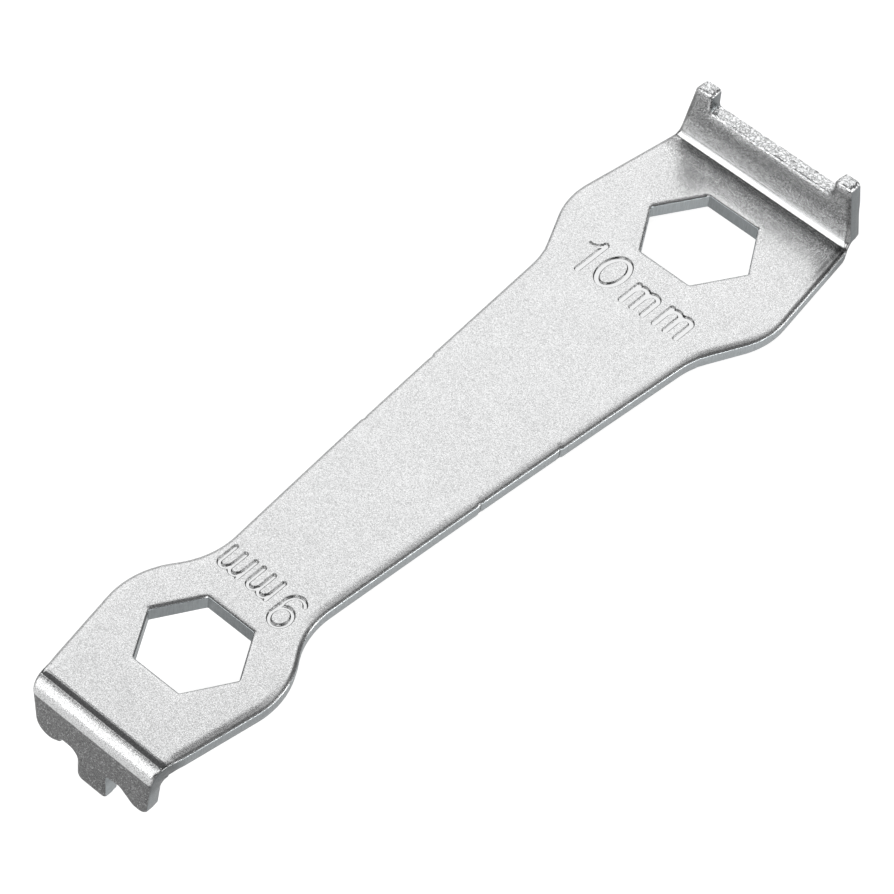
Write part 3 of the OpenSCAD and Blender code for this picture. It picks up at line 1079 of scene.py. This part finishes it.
# Place along the blank and tone: teeth, tooth fold, small head, handle, big head, peg fold, pegs
# The dark stretches by the tooth fold and the pegs are partly painted shade
WALL_TONES = (
    (-86, 0.72), (-85, 0.7), (-84.4, 0.55), (-81.6, 0.5), (-80.6, 0.3), (-77.6, 0.26), (-76.2, 0.6),
    (-66, 0.65), (-60, 0.78), (-10, 0.82), (2, 0.8), (5.2, 0.8), (6.6, 0.46), (9, 0.4), (16, 0.42))
tree, shader = metal("sheared_edge")
grain_node = add_node(tree, "ShaderNodeGroup", node_tree=grain)
on_blank = attribute(tree, "blank", "Vector")
along = parts(on_blank)[1]
scores = drawn_out_noise(on_blank, SCORES, 0.6)
start, length = WALL_TONES[0][0], WALL_TONES[-1][0] - WALL_TONES[0][0]
part_way = math_node("DIVIDE", math_node("SUBTRACT", along, start), length)
by_place = add_node(tree, "ShaderNodeValToRGB")
tree.links.new(part_way, by_place.inputs[0])
stops = by_place.color_ramp.elements
for s, _ in WALL_TONES[1:-1]:
    stops.new((s - start) / length)
for stop, (s, level) in zip(stops, WALL_TONES):
    stop.color = (level, level, level, 1)
tone = product(math_node("MULTIPLY_ADD", scores, 0.5, 0.6), by_place.outputs[0])
# Painted shade on walls that face towards the teeth, down to two thirds of their tone
facing = parts(add_node(tree, "ShaderNodeTexCoord").outputs["Normal"])
tone = product(tone, ease(facing[1], -0.95, -0.6, 0.66, 1.0))
for s in CRACKS_S:
    tone = product(tone, ease(away_from(along, s), 0.04, 0.12, 0.35, 1.0))
colour(tree, shader, tone, 0.88, 0.06)
shader.inputs["Roughness"].default_value = 0.25
relief(tree, shader, math_node("ADD", scores, grain_node.outputs["Height"]), SCORE_DEEP)
print("wall:", len(stops), "tones over", length, "mm")

# %% [markdown]
# ## The broken edge
# Between the pegs and on their tips the steel was broken off and then plated, so it sparkles: many
# small crystal faces, each at its own angle. The mesh already scatters its points there, and cells of
# random shape add the finer crystals. Thin dark cracks run where a noise crosses its middle.

# %% Broken edge material
FACETS_PER_METRE, CRACKS_PER_METRE, FACET_DEEP = 4600, 2600, 0.000025
tree, shader = metal("broken_edge")
place = add_node(tree, "ShaderNodeTexCoord").outputs["Object"]
facets = texture("ShaderNodeTexVoronoi", place, Scale=FACETS_PER_METRE)
cracks = texture("ShaderNodeTexNoise", place, Scale=CRACKS_PER_METRE, Detail=4.0, Roughness=0.75)
off_crack = away_from(cracks.outputs[0], 0.5)
colour(tree, shader, ease(off_crack, 0.0, 0.06, 0.12, 1.0), 0.87, 0.01)
shader.inputs["Roughness"].default_value = 0.3
relief(tree, shader, facets.outputs["Distance"], FACET_DEEP)
print("materials:", [m.name for m in mesh.materials])

# %% [markdown]
# ## Hand over
# The pressed body stands for the plain CAD node and rides on the same body. Both boxes are kept, so
# that the sizes can be compared.

# %% Frame calls
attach(body, "root")
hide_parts("tool_body")
